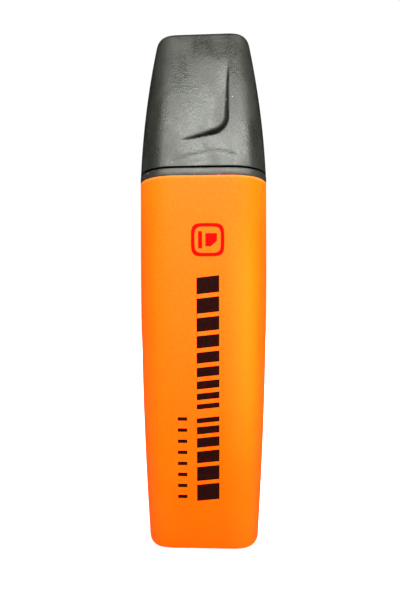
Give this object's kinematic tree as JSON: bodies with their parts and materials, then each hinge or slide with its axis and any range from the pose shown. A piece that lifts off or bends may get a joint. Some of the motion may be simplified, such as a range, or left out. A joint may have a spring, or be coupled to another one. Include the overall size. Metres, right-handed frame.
{
  "type": "highlighter pen",
  "caption": "Flat chisel-nib highlighter with a translucent orange barrel and a tapered dark grey pull-off cap with thumb recesses, standing on its flat base.",
  "frame": {"origin": "centre of the base, on the surface that the pen stands on", "axes": "+Z along the pen from the base to the cap, the printed face towards -Y, +X to the right of someone who looks at that face"},
  "size_m": [0.0272, 0.017, 0.1052],
  "materials": {
    "barrel_orange": "satin translucent fluorescent orange polypropylene, fine matte mould texture",
    "front_black": "satin black-grey polypropylene",
    "nib_felt": "dense felt soaked with orange ink",
    "reservoir_fibre": "fibre wad soaked with orange ink",
    "film_clear": "thin clear film",
    "cap_grey": "satin dark grey plastic with a fine mould texture and light handling marks",
    "liner_grey": "soft matt grey polyethylene",
    "print_red": "printed red ink, thin and even",
    "print_dark": "printed dark ink, thin and even"
  },
  "bodies": {
    "pen": {"barrel": "barrel_orange", "front_section": "front_black", "nib": "nib_felt", "reservoir_core": "reservoir_fibre", "reservoir_film": "film_clear"},
    "cap": {"cap_shell": "cap_grey", "cap_liner": "liner_grey"}
  },
  "joints": [
    {"name": "cap_pull", "type": "slide", "parent": "pen", "child": "cap", "axis": [0, 0, 1], "range_m": [0, 0.024]}
  ]
}
